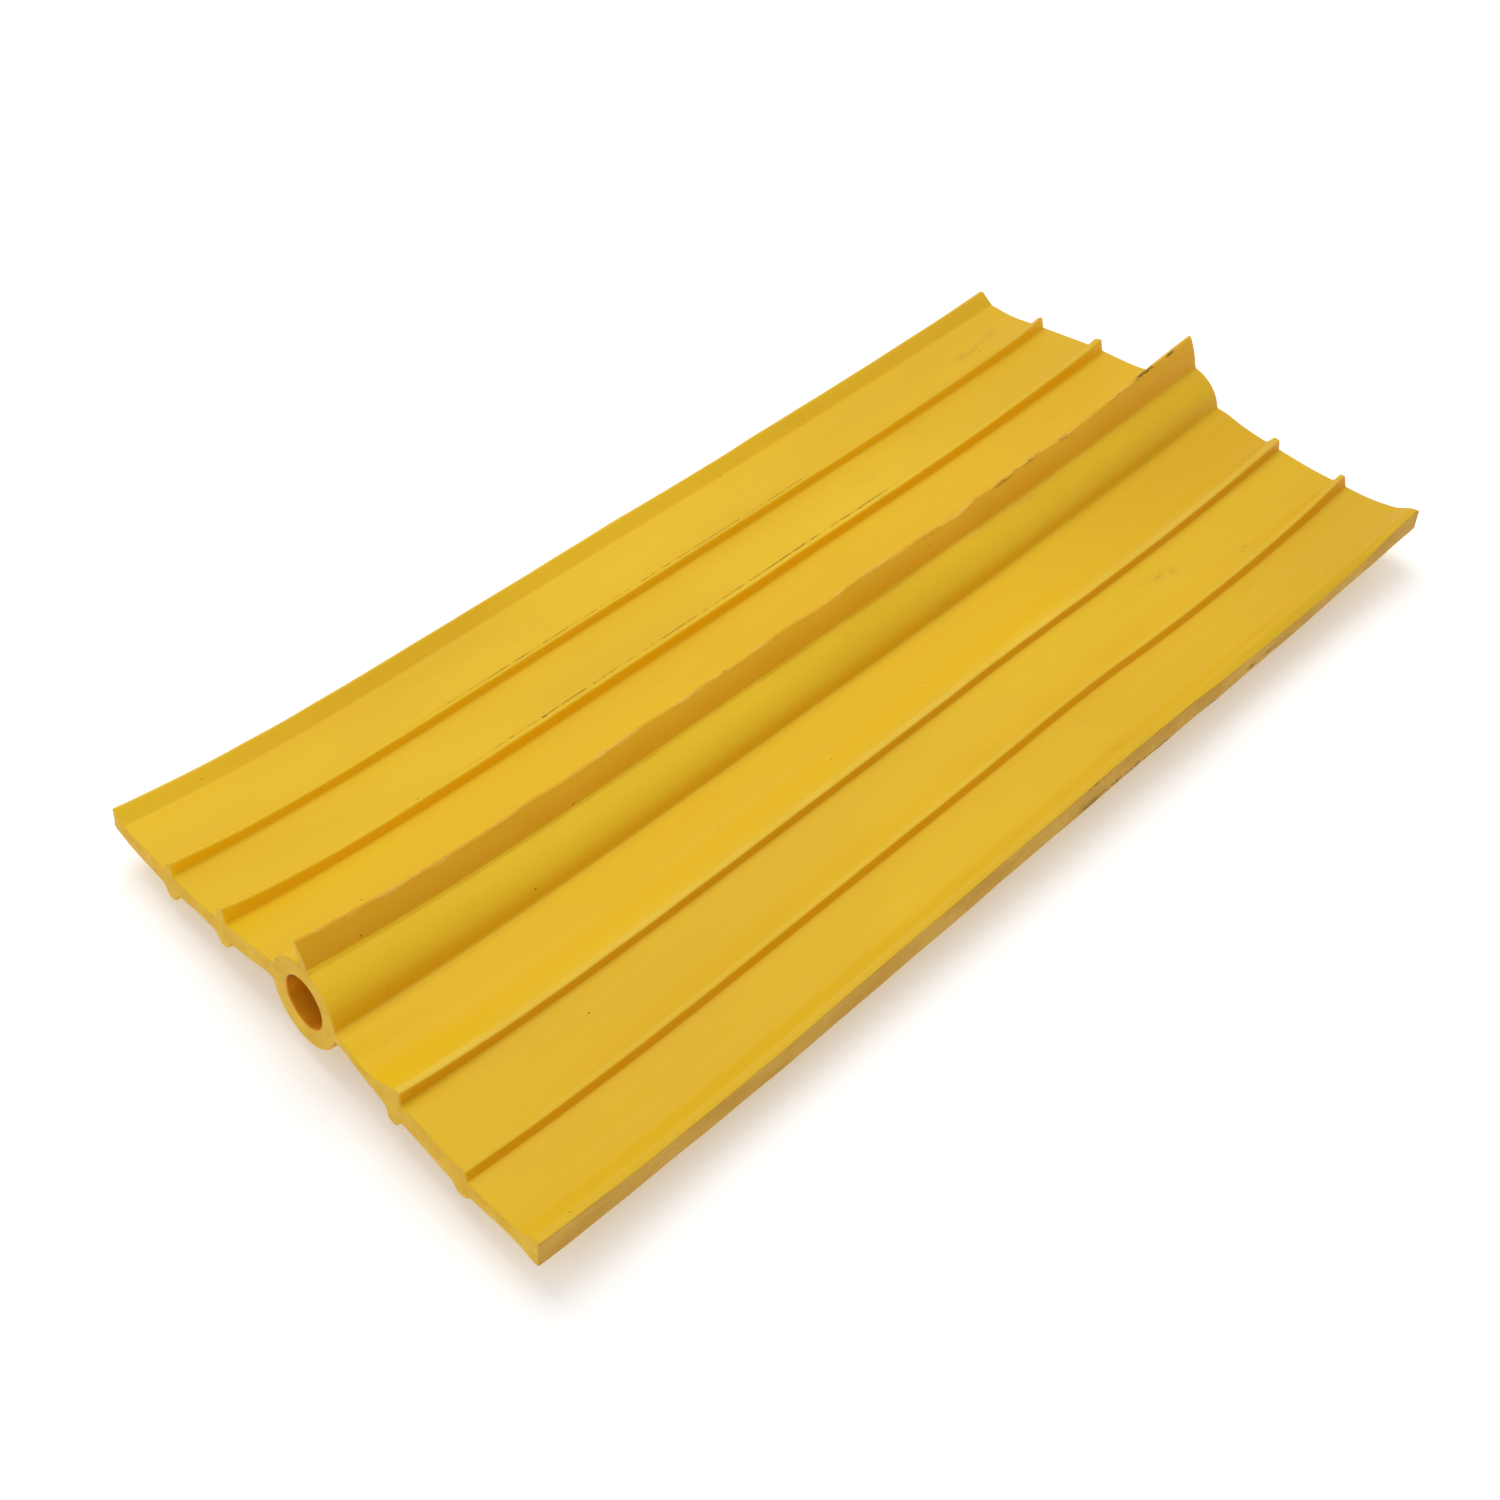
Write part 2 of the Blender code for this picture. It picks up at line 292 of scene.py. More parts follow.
def settled(side, x, t, under):
    """How far the web's top or underside at distance x from the bulb lies out of true."""
    near = max(0.0, 1 - t / SETTLE_REACH[0]) ** 2
    far = max(0.0, 1 - (1 - t) / SETTLE_REACH[1]) ** 2
    top, low, end = SETTLE[side]
    reach = x / MM
    shift = (smooth_through(SETTLE_X, low if under else top, reach) * near
             + smooth_through(SETTLE_X, end, reach) * far) * MM
    if under:
        for start, finish in BAYS:
            if start < x < finish:
                across = math.pi * (x - start) / (finish - start)
                shift += BAY_HOLLOW * (1 - near) * math.sin(across) ** 2
    elif side == "left":
        shift += WEB_ROOT_RAMP * math.exp(-max(0.0, reach - SETTLE_X[0]) / WEB_ROOT_FADE)
    return shift


def ripple(x, t):
    """Slight unevenness of the soft strip, the same for every skin at the same place."""
    broad = noise.noise(Vector((x / (24 * MM), t * LENGTH / (55 * MM), 3.7)))
    fine = noise.noise(Vector((x / (9 * MM), t * LENGTH / (21 * MM), 8.1)))
    return RIPPLE * (broad + 0.35 * fine)


def swell(x, t):
    """Hump at mid-length and sag near the far end that lift or lower the soft wings."""
    side = "right" if x > 0 else "left"
    reach = abs(x) / MM
    return MM * (smooth_through(SWELL_T, HUMP, t) * smooth_through(SWELL_X, HUMP_H[side], reach)
                 + smooth_through(SWELL_T, SAG, t) * smooth_through(SWELL_X, SAG_H[side], reach))


def wander(x, t):
    """Sideways drift of the ribs, which fades out over the webs beside them."""
    side, flip = ("right", 1) if x > 0 else ("left", -1)
    near = max(0.0, 1 - t / WANDER_REACH[0]) ** 2
    far = max(0.0, 1 - (1 - t) / WANDER_REACH[1]) ** 2
    sag = smooth_through(SWELL_T, SAG, t)
    total = 0.0
    for rib_x, (everywhere, at_near, at_sag, at_far) in zip(RIB_X, RIB_WANDER[side]):
        hold = min(1.0, max(0.0, 2.0 - abs(abs(x) - rib_x) / WANDER_HOLD))
        total += hold * (everywhere + at_near * near + at_sag * sag + at_far * far)
    return flip * total * MM


def place(x, h, t):
    """Section point (x, h) at fraction t of the length, carried onto the bent strip."""
    tilt = math.atan(curl_slope(t))
    height = wing_rise(x, t) + h + ripple(x, t) + swell(x, t)
    return Vector((x + wander(x, t) - h * wing_slope(x, t),
                   (t - 0.5) * LENGTH + CENTRING_Y - height * math.sin(tilt),
                   DATUM_Z + curl(t) + height * math.cos(tilt)))


def fillet(before, corner, after, radius):
    """Arc that rounds a corner of an outline, as ARC_STEPS + 1 points."""
    corner = Vector(corner)
    a = (Vector(before) - corner).normalized()
    b = (Vector(after) - corner).normalized()
    half = a.angle(b) / 2
    start = corner + a * (radius / math.tan(half))
    end = corner + b * (radius / math.tan(half))
    centre = corner + (a + b).normalized() * (radius / math.sin(half))
    turn = (start - centre).angle_signed(end - centre)
    points = []
    for step in range(ARC_STEPS + 1):
        arm = (start - centre).copy()
        arm.rotate(Matrix.Rotation(-turn * step / ARC_STEPS, 2))
        points.append(centre + arm)
    return points


def rounded_run(corners, spans):
    """Open outline through (x, h, radius) corners, each straight run split into its spans."""
    arcs = []
    for k, (x, h, radius) in enumerate(corners):
        if radius == 0:
            arcs.append([Vector((x, h))])
        else:
            arcs.append(fillet(corners[k - 1][:2], (x, h), corners[k + 1][:2], radius))
    points = []
    for k, arc in enumerate(arcs):
        points += arc
        if k + 1 < len(arcs):
            start, end = arc[-1], arcs[k + 1][0]
            points += [start.lerp(end, step / spans[k]) for step in range(1, spans[k])]
    return points


def rib_side(rib, side, direction, t):
    """Corners from a rib's crest down one flank to the web."""
    seam = RIB_X[rib]
    ends = (max(0.0, 1 - t / RIB_END_REACH) ** 2 * RIB_END_RISE[side][rib]
            + max(0.0, 1 - (1 - t) / RIB_FAR_REACH) ** 2 * RIB_FAR_RISE[side][rib])
    uneven = RIB_UNEVEN * noise.noise(Vector((t * 25, rib, 4.0)))
    top = WEB_HALF + RIB_RISE[side][rib] + (ends + uneven) * MM
    inner_base, inner_tip, outer_tip, outer_base = (v * MM for v in RIB_PROFILE[side][rib])
    sharp = max(0.0, 1 - (1 - t) / RIB_SHARP_REACH)
    inner_base += sharp * (RIB_SHARP_BASE[side][rib] - inner_base)
    inner_fillet = RIB_INNER_FILLET[side]
    inner_fillet += sharp * (RIB_SHARP_FILLET[side] - inner_fillet)
    drop = RIB_OUTER_DROP[side]
    middle = top - drop * inner_tip / (inner_tip - outer_tip)
    if direction < 0:
        return [(seam, middle, 0.0),
                (seam + inner_tip, top, RIB_TIP_ROUND),
                (seam + inner_base, WEB_HALF, inner_fillet)]
    return [(seam, middle, 0.0),
            (seam + outer_tip, top - drop, RIB_TIP_ROUND),
            (seam + outer_base, WEB_HALF, RIB_OUTER_FILLET[side])]


def foot_side(rib, side, direction):
    """Corners from a foot's sole up one flank to the web's underside."""
    sole = -WEB_HALF - FOOT_DROP[side][rib]
    seam = RIB_X[rib]
    return [(seam, sole, 0.0),
            (seam + direction * FOOT_TIP_HALF, sole, FOOT_FILLET / 2),
            (seam + direction * FOOT_BASE_HALF, -WEB_HALF, FOOT_FILLET)]


def web_corners(bay, side, t):
    """Top and underside corners of one skin of a wing, from its inner to its outer seam."""
    if bay == 0:
        above = [(SEAM_X[0], WEB_HALF, 0.0)] + rib_side(0, side, -1, t)[::-1]
        below = [(SEAM_X[0], -WEB_HALF, 0.0)] + foot_side(0, side, -1)[::-1]
        return above, below, (WEB_SPANS, 3, 2)
    if bay == 1:
        above = rib_side(0, side, 1, t) + rib_side(1, side, -1, t)[::-1]
        below = foot_side(0, side, 1) + foot_side(1, side, -1)[::-1]
        return above, below, (2, 3, WEB_SPANS, 3, 2)
    spread = EDGE_SPREAD[side] * max(0.0, 1 - (1 - t) / EDGE_SPREAD_REACH) ** 2
    uneven = EDGE_UNEVEN * noise.noise(Vector((t * 11, 2.0, 9.0)))
    edge = WIDTH / 2 - EDGE_INSET + spread + uneven
    ridge_h = along(LIP_RIDGE_H[side], t) * MM
    hand_cut = HAND_CUT * noise.noise(Vector((t * 22, 6.0, 1.5)))
    trim_top = (smooth_through(TRIM_T, TRIM_TOP[side], t) + hand_cut) * MM
    trim_low = (smooth_through(TRIM_T, TRIM_LOW[side], t) + 1.4 * hand_cut) * MM
    above = rib_side(1, side, 1, t) + [
        (CREASE_X[side], WEB_HALF, CREASE_ROUND[side]),
        (LIP_RIDGE_X[side], ridge_h, LIP_RIDGE_ROUND[side]),
        (edge, trim_top, BEAD_TOP_ROUND),
        (edge - 0.1 * MM, 0.0, 0.0)]
    below = foot_side(1, side, 1) + [
        (BEAD_START_X, -WEB_HALF, BEAD_START_ROUND),
        (edge - BEAD_CHAMFER, trim_low - 0.1 * MM, BEAD_LOW_ROUND),
        (edge - 0.2 * MM, trim_low, BEAD_LOW_ROUND),
        (edge - 0.1 * MM, 0.0, 0.0)]
    return above, below, (2, 3, WEB_SPANS, 3, 2, 4)


def web_lists(bay, side, t):
    """Top and underside points of one skin's section, in the same number."""
    above, below, spans = web_corners(bay, side, t)
    flip = -1 if side == "left" else 1
    top = [Vector((flip * p.x, p.y + settled(side, p.x, t, p.y < 0)))
           for p in rounded_run(above, spans)]
    low = [Vector((flip * p.x, p.y + settled(side, p.x, t, p.y < 0)))
           for p in rounded_run(below, spans)]
    return top, low


def shrunk(outline, depth, held_x):
    """Closed outline moved inwards by depth, its points at the held x moving only in height."""
    area = sum(a.cross(b) for a, b in zip(outline, outline[1:] + outline[:1]))
    turn = 1 if area > 0 else -1
    moved = []
    for k, point in enumerate(outline):
        before, after = outline[k - 1], outline[(k + 1) % len(outline)]
        tangent = (after - before).normalized()
        inward = Vector((-tangent.y, tangent.x)) * turn * depth
        if any(abs(abs(point.x) - x) < 1e-6 for x in held_x):
            inward = Vector((0.0, -math.copysign(depth, point.y)))
        moved.append(point + inward)
    return moved


def stations(count):
    """Fractions of the length, with one extra ring at each end for the rounded cut edge."""
    inner = CUT_ROUND / LENGTH
    return [0.0] + [inner + (1 - 2 * inner) * k / (count - 1) for k in range(count)] + [1.0]


class Skin:
    """One closed mesh, with the strip's own coordinates kept on its points for the textures."""

    def __init__(self, name):
        self.name = name
        self.body = bmesh.new()
        self.strip = self.body.verts.layers.float_vector.new("strip")
        self.rim = self.body.verts.layers.float.new("rim")

    def ring(self, outline, t):
        """Points of one section outline at t, as a closed row."""
        row = []
        for point in outline:
            vert = self.body.verts.new(place(point.x, point.y, t))
            vert[self.strip] = (point.x / MM, t * LENGTH / MM, point.y / MM)
            row.append(vert)
        return row

    def mark_rim(self, row, first, last):
        """Marks a run of a ring's points as the fin's top edge, for its wear marks and its painted
        highlight.
        """
        for vert in row[first:last]:
            vert[self.rim] = 1.0

    def face(self, corners, slot):
        made = self.body.faces.new(corners)
        made.material_index = slot
        made.smooth = True

    def tube(self, rings, slot_of=lambda k: 0):
        """Faces between each ring and the next; slot_of gives the material of each strip."""
        count = len(rings[0])
        for first, second in zip(rings, rings[1:]):
            for k in range(count):
                following = (k + 1) % count
                self.face((first[k], first[following], second[following], second[k]), slot_of(k))

    def finish(self, materials):
        """Turns the mesh into an object in the scene."""
        bmesh.ops.recalc_face_normals(self.body, faces=self.body.faces)
        mesh = bpy.data.meshes.new(self.name)
        self.body.to_mesh(mesh)
        self.body.free()
        mesh.set_sharp_from_angle(angle=SHARP_ANGLE)
        for material in materials:
            mesh.materials.append(material)
        made = bpy.data.objects.new(self.name, mesh)
        bpy.context.scene.collection.objects.link(made)
        return made


def web_skin(name, bay, side, materials):
    """One panel of a wing; materials are for the moulded, cut and trimmed faces."""
    skin = Skin(name)
    rings = []
    fractions = stations(STATIONS)
    for t in fractions:
        top, low = web_lists(bay, side, t)
        outline = top + low[::-1]
        if t in (0.0, 1.0):
            outline = shrunk(outline, CUT_ROUND, SEAM_X[:3])
        rings.append(skin.ring(outline, t))
    count = len(rings[0])
    half = count // 2
    rim = 4 + ARC_STEPS

    def slot_of(k):
        return 2 if bay == 2 and half - rim <= k < half + rim - 2 else 0

    skin.tube(rings, slot_of)
    for ring in (rings[0], rings[-1]):
        for k in range(half - 1):
            if k == half - 2 and bay == 2:
                skin.face((ring[k], ring[k + 1], ring[count - 1 - k]), 1)
            else:
                skin.face((ring[k], ring[k + 1], ring[count - 2 - k], ring[count - 1 - k]), 1)
    return skin.finish(materials)


def bulb_centre(t):
    """Centre of the bulb's outside in the section at t."""
    return Vector((along(BULB_SHIFT_X, t), BULB_CENTRE_H + along(BULB_SHIFT_H, t)))


def bulb_outline(t):
    """Round bulb with a short stub of web on each side, from the right seam anticlockwise."""
    centre = bulb_centre(t)
    reach = BULB_RADIUS + BULB_FILLET
    outline = []
    for sign in (1, -1):
        stubs, touches = [], []
        for side, flip in (("right", 1), ("left", -1)):
            web_h = sign * WEB_HALF + settled(side, SEAM_X[0], t, sign < 0)
            rise = sign * (web_h - centre.y) + BULB_FILLET
            hub_x = centre.x + flip * math.sqrt(reach ** 2 - rise ** 2)
            hub = Vector((hub_x, web_h + sign * BULB_FILLET))
            touch = math.asin(rise / reach)
            stub = [Vector((flip * SEAM_X[0], web_h))]
            for step in range(ARC_STEPS + 1):
                angle = (math.pi / 2 - touch) * step / ARC_STEPS
                arm = Vector((flip * math.sin(angle), sign * math.cos(angle)))
                stub.append(hub - arm * BULB_FILLET)
            stubs.append(stub)
            touches.append(touch)
        arc = []
        for step in range(1, BULB_SPANS):
            angle = touches[0] + (math.pi - touches[0] - touches[1]) * step / BULB_SPANS
            arc.append(centre + Vector((math.cos(angle), sign * math.sin(angle))) * BULB_RADIUS)
        half = stubs[0] + arc + stubs[1][::-1]
        outline += half if sign == 1 else half[::-1]
    return outline


def bulb_skin(materials):
    """Bulb with its open bore; materials are for the moulded, cut, trimmed and bore faces."""
    skin = Skin("bulb_skin")
    outer, inner = [], []
    for t in stations(STATIONS):
        cut = t in (0.0, 1.0)
        outline = bulb_outline(t)
        centre = bulb_centre(t) + Vector(BORE_SHIFT)
        radius = BORE_RADIUS + (CUT_ROUND if cut else 0.0)
        bore = [centre + (p - centre).normalized() * radius for p in outline]
        outer.append(skin.ring(shrunk(outline, CUT_ROUND, SEAM_X[:1]) if cut else outline, t))
        inner.append(skin.ring(bore, t))
    skin.tube(outer)
    skin.tube(inner, lambda k: 3)
    count = len(outer[0])
    for k in (0, -1):
        for j in range(count):
            following = (j + 1) % count
            skin.face((outer[k][j], outer[k][following], inner[k][following], inner[k][j]), 1)
    return skin.finish(materials)


def crown_height(x, t):
    """Height of the bulb's surface at x."""
    centre = bulb_centre(t)
    return centre.y + math.sqrt(BULB_RADIUS ** 2 - (x - centre.x) ** 2)


def fin_section(t):
    """Fin outline at t: root set into the bulb's crown, full sides, thin trimmed tip."""
    root_x = along(FIN_ROOT_X, t)
    tip_x = along(FIN_TIP_X, t) + 0.2 * MM * noise.noise(Vector((t * 9, 1.3, 0.0)))
    chatter = FIN_CHATTER[0] * noise.noise(Vector((t * 34, 0.4, 2.2)))
    chatter += FIN_CHATTER[1] * noise.noise(Vector((t * 110, 5.5, 0.1)))
    tip_h = (smooth_through(*zip(*FIN_TRIM), t) + chatter) * MM - FIN_TIP_HALF * FIN_TIP_FLATNESS
    right, left = [], []
    for step in range(FIN_SIDE_STEPS + 1):
        u = step / FIN_SIDE_STEPS
        flare = FIN_FLARE * max(0.0, 1 - u / 0.1) ** 2
        half = FIN_ROOT_HALF * (1 - u ** 3) + FIN_TIP_HALF * u ** 3 + flare
        lean = root_x + (tip_x - root_x) * (0.75 * u + 0.25 * u * u)
        for sign, run in ((1, right), (-1, left)):
            foot_h = crown_height(root_x + sign * (FIN_ROOT_HALF + FIN_FLARE), t)
            run.append(Vector((lean + sign * half, foot_h + (tip_h - foot_h) * u)))
    middle = (right[-1] + left[-1]) / 2
    tip = []
    for step in range(1, FIN_TIP_STEPS):
        angle = math.pi * step / FIN_TIP_STEPS
        arm = Vector((math.cos(angle), math.sin(angle) * FIN_TIP_FLATNESS))
        tip.append(middle + arm * FIN_TIP_HALF)
    base = []
    for step in range(FIN_BASE_POINTS):
        x = left[0].x + (right[0].x - left[0].x) * step / (FIN_BASE_POINTS - 1)
        base.append(Vector((x, crown_height(x, t) - FIN_EMBED)))
    return base + right + tip + left[::-1]


def fin_skin(materials):
    """Upright fin with its trimmed top; materials are for the moulded and cut faces."""
    skin = Skin("fin_skin")
    tip_start = FIN_BASE_POINTS + FIN_SIDE_STEPS
    tip_end = tip_start + FIN_TIP_STEPS + 1
    rings = []
    for t in stations(FIN_STATIONS):
        outline = fin_section(t)
        if t in (0.0, 1.0):
            outline = shrunk(outline, CUT_ROUND / 2, ())
        rings.append(skin.ring(outline, t))
        skin.mark_rim(rings[-1], tip_start, tip_end)
    skin.tube(rings)
    for ring in (rings[0], rings[-1]):
        skin.face(ring, 1)
    return skin.finish(materials)


def rgb(red, green, blue):
    """Display colour 0-255 as the linear colour that a shader takes."""
    def linear(value):
        value /= 255
        return value / 12.92 if value <= 0.04045 else ((value + 0.055) / 1.055) ** 2.4
    return linear(red), linear(green), linear(blue), 1.0


# PVC colours
YELLOW_LOW = rgb(222, 178, 16)
YELLOW_HIGH = rgb(229, 187, 24)
YELLOW_WARM = rgb(228, 182, 3)
# Darker yellow for painted shade, with some dirt at the far end
YELLOW_SHADE_AND_DIRT = rgb(204, 158, 16)
YELLOW_PALE = rgb(238, 208, 110)
# Painted shade: deeper orange for the shaded rib flanks, the bulb crease and the fin face, deeper
# still at the fin's near end
SHADE_ORANGE_LEFT = rgb(237, 184, 8)
SHADE_ORANGE_RIGHT = rgb(221, 160, 5)
SHADE_ORANGE_DEEP = rgb(211, 153, 0)
# Painted shade for the bore's wall: orange, darkening to brown at its top
BORE_SHADE_LOW = rgb(216, 130, 4)
BORE_SHADE_HIGH = rgb(232, 152, 8)
BORE_SHADE_DEEP = rgb(150, 76, 4)
CUT_LOW = rgb(219, 170, 28)
CUT_HIGH = rgb(231, 187, 48)
TRIMMED_LOW = rgb(188, 141, 40)
TRIMMED_HIGH = rgb(204, 160, 60)
BLADE_MARK = rgb(160, 116, 34)
SMUDGE = rgb(170, 134, 48)
GRIME = rgb(92, 60, 14)
EDGE_DIRT = rgb(84, 64, 34)

# PVC surface
PVC_IOR = 1.5
SPECULAR_LEVEL = 0.25

# Darker parts of the webs, in millimetres on the strip: across from, to, along from, to, amount.
# The first is painted shade at the near end of the right middle web; the other two are partly
# painted shade and partly dirt towards the far end.
SHADE_AND_DIRT_PATCHES = (
    (33.0, 52.0, 120.0, 30.0, 0.22),
    (13.0, 30.0, 190.0, 285.0, 0.4),
    (-52.0, -31.0, 190.0, 275.0, 0.2),
)

# How pale the painted highlight along the crests of the inner and the outer right rib is, and how
# far each crest reaches across its seam, in millimetres
CREST_HIGHLIGHT = (0.18, 0.06)
CREST_SPAN = (-0.5, 0.95)

# Part of the left ribs that is rubbed dark, in millimetres along the strip
SCUFF_SPAN = (78.0, 205.0)
SCUFF_FADE = 14.0


def feed(tree, socket, value):
    """Sets an input to a plain value, or links another node's output to it."""
    if isinstance(value, bpy.types.NodeSocket):
        tree.links.new(value, socket)
    else:
        socket.default_value = value


def add_node(tree, kind, inputs=None, **settings):
    """Adds a shader node; an input is a plain value or another node's output."""
    made = tree.nodes.new(kind)
    for name, value in settings.items():
        setattr(made, name, value)
    for name, value in (inputs or {}).items():
        feed(tree, made.inputs[name], value)
    return made


class Finish:
    """A material being built: short calls for the patterns that the PVC is layered from."""

    def __init__(self, name):
        self.material = bpy.data.materials.new(name)
        self.material.use_nodes = True
        self.tree = self.material.node_tree
        self.shader = self.tree.nodes["Principled BSDF"]
        self.shader.inputs["IOR"].default_value = PVC_IOR
        self.shader.inputs["Specular IOR Level"].default_value = SPECULAR_LEVEL
        strip = add_node(self.tree, "ShaderNodeAttribute", attribute_name="strip")
        self.strip = strip.outputs["Vector"]
        split = add_node(self.tree, "ShaderNodeSeparateXYZ", {0: self.strip})
        self.x, self.y, self.h = split.outputs
        rim = add_node(self.tree, "ShaderNodeAttribute", attribute_name="rim")
        self.rim = rim.outputs["Fac"]

    def stretched(self, across, lengthwise, upwards):
        """The strip's coordinates in millimetres, scaled to pattern cells."""
        scale = add_node(self.tree, "ShaderNodeMapping", {
            "Vector": self.strip, "Scale": (across, lengthwise, upwards)})
        return scale.outputs[0]

    def noise(self, across, lengthwise, upwards, detail=2.0, roughness=0.5):
        """Noise with this many cells per millimetre in each of the strip's directions."""
        made = add_node(self.tree, "ShaderNodeTexNoise", {
            "Vector": self.stretched(across, lengthwise, upwards),
            "Scale": 1.0, "Detail": detail, "Roughness": roughness})
        return made.outputs[0]

    def band(self, value, low, high, out_low=0.0, out_high=1.0):
        """Smooth step of a value from low to high; low may be the larger one."""
        made = add_node(self.tree, "ShaderNodeMapRange", {
            "Value": value, "From Min": low, "From Max": high,
            "To Min": out_low, "To Max": out_high}, interpolation_type="SMOOTHSTEP")
        return made.outputs[0]

    def maths(self, operation, first, second=0.0):
        made = add_node(self.tree, "ShaderNodeMath", {0: first, 1: second}, operation=operation)
        return made.outputs[0]

    def product(self, *values):
        result = values[0]
        for value in values[1:]:
            result = self.maths("MULTIPLY", result, value)
        return result

    def mix(self, factor, first, second):
        """Colour between the first and the second by the factor."""
        made = add_node(self.tree, "ShaderNodeMix", data_type="RGBA")
        feed(self.tree, made.inputs[0], factor)
        feed(self.tree, made.inputs[6], first)
        feed(self.tree, made.inputs[7], second)
        return made.outputs[2]

    def window(self, value, low, high, soft):
        """1 between low and high, falling to 0 over the soft distance outside them."""
        return self.product(self.band(value, low - soft, low),
                            self.band(value, high + soft, high))

    def relief(self, height, strength, depth_mm):
        bump = add_node(self.tree, "ShaderNodeBump", {
            "Height": height, "Strength": strength, "Distance": depth_mm * MM})
        self.connect("Normal", bump.outputs[0])

    def connect(self, name, value):
        self.tree.links.new(value, self.shader.inputs[name])


def yellow_base(finish):
    """Mottled yellow with faint drawn lines, warmer beside the bulb, with painted shade darkening
    it towards the far end and across the right wing, and some dirt at the far end.
    """
    mottle = finish.noise(0.035, 0.012, 0.05, 3.0, 0.55)
    colour = finish.mix(finish.band(mottle, 0.3, 0.7), YELLOW_LOW, YELLOW_HIGH)
    warm = finish.window(finish.x, 13.0, 27.0, 2.0)
    colour = finish.mix(warm, colour, YELLOW_WARM)
    warm_left = finish.product(finish.window(finish.x, -26.0, -12.0, 4.0), 0.4)
    colour = finish.mix(warm_left, colour, YELLOW_WARM)
    # Painted shade where the light falls off towards the far end and across the right wing, with
    # some dirt at the far end; the outer left wing is a little darker too
    far = finish.band(finish.y, 190.0, 300.0, 0.0, 0.3)
    right = finish.band(finish.x, 28.0, 60.0, 0.0, 0.22)
    left = finish.band(finish.x, -20.0, -50.0, 0.0, 0.08)
    shade_and_dirt = finish.maths("ADD", far, finish.maths("ADD", left, right))
    colour = finish.mix(shade_and_dirt, colour, YELLOW_SHADE_AND_DIRT)
    # Patches of painted shade, partly dirt towards the far end
    for low, high, start, stop, amount in SHADE_AND_DIRT_PATCHES:
        patch = finish.product(finish.window(finish.x, low, high, 3.0),
                               finish.band(finish.y, start, stop, 0.0, amount))
        colour = finish.mix(patch, colour, YELLOW_SHADE_AND_DIRT)
    drawn = finish.noise(1.1, 0.006, 1.1, 2.0)
    colour = finish.mix(finish.product(finish.band(drawn, 0.45, 0.75), 0.05), colour, YELLOW_PALE)
    return colour, mottle, drawn


def add_crest_highlight(finish, colour):
    """Painted highlight, broken up, along the crests of the right ribs."""
    for rib_x, amount in zip(RIB_X, CREST_HIGHLIGHT):
        crest = finish.window(finish.x, rib_x / MM + CREST_SPAN[0],
                              rib_x / MM + CREST_SPAN[1], 0.3)
        crest_glint = finish.band(finish.noise(0.1, 0.05, 0.1, 3.0, 0.6), 0.35, 0.6, 0.3 * amount, amount)
        colour = finish.mix(finish.product(crest, crest_glint), colour, YELLOW_PALE)
    return colour


def add_wear(finish, colour):
    """Pale scuffs in patches, grey smudges and a few dark specks."""
    patch = finish.band(finish.noise(0.03, 0.02, 0.03, 2.0), 0.5, 0.68)
    scratch = finish.band(finish.noise(1.3, 0.06, 1.3, 3.0), 0.6, 0.72)
    scuff = finish.product(patch, scratch)
    colour = finish.mix(finish.product(scuff, 0.08), colour, YELLOW_PALE)
    smudge = finish.product(finish.band(finish.noise(0.07, 0.03, 0.07, 4.0, 0.7), 0.58, 0.74),
                            finish.band(finish.noise(0.9, 0.4, 0.9, 3.0, 0.7), 0.4, 0.62),
                            finish.band(finish.y, 150.0, 290.0, 0.15, 0.5))
    colour = finish.mix(smudge, colour, SMUDGE)
    speck = finish.band(finish.noise(0.8, 0.55, 0.8, 1.0), 0.81, 0.83)
    return finish.mix(finish.product(speck, 0.75), colour, GRIME), scuff


def add_painted_shade(finish, colour):
    """Painted shade: deeper orange on the rib flanks that face away from the light, in the bulb
    crease and on the fin face, as where the yellow shines on itself in shade.
    """
    for rib, rib_x in enumerate(RIB_X):
        inner_base, inner_tip = RIB_PROFILE["left"][rib][:2]
        outer_tip, outer_base = RIB_PROFILE["right"][rib][2:]
        seam = rib_x / MM
        left = finish.window(finish.x, -seam - inner_tip + 0.1, -seam - inner_base, 0.15)
        colour = finish.mix(left, colour, SHADE_ORANGE_LEFT)
        right = finish.window(finish.x, seam + outer_tip + 0.1, seam + outer_base, 0.15)
        colour = finish.mix(right, colour, SHADE_ORANGE_RIGHT)
    reach = finish.maths("ABSOLUTE", finish.x)
    # Painted shade in the crease at the foot of the bulb
    crease = finish.product(finish.window(reach, 6.0, 10.9, 0.3), finish.band(finish.h, 8.0, 4.0))
    colour = finish.mix(finish.product(crease, 0.7), colour, SHADE_ORANGE_RIGHT)
    # Painted shade on the fin face, deeper towards its root
    face = finish.product(finish.band(finish.h, 12.2, 12.6),
                          finish.band(finish.h, 14.0, 21.0, 0.95, 0.6))
    colour = finish.mix(face, colour, SHADE_ORANGE_RIGHT)
    # Painted shade: the fin face darker orange still towards the near end
    near = finish.product(face, finish.band(finish.y, 110.0, 20.0))
    return finish.mix(near, colour, SHADE_ORANGE_DEEP)


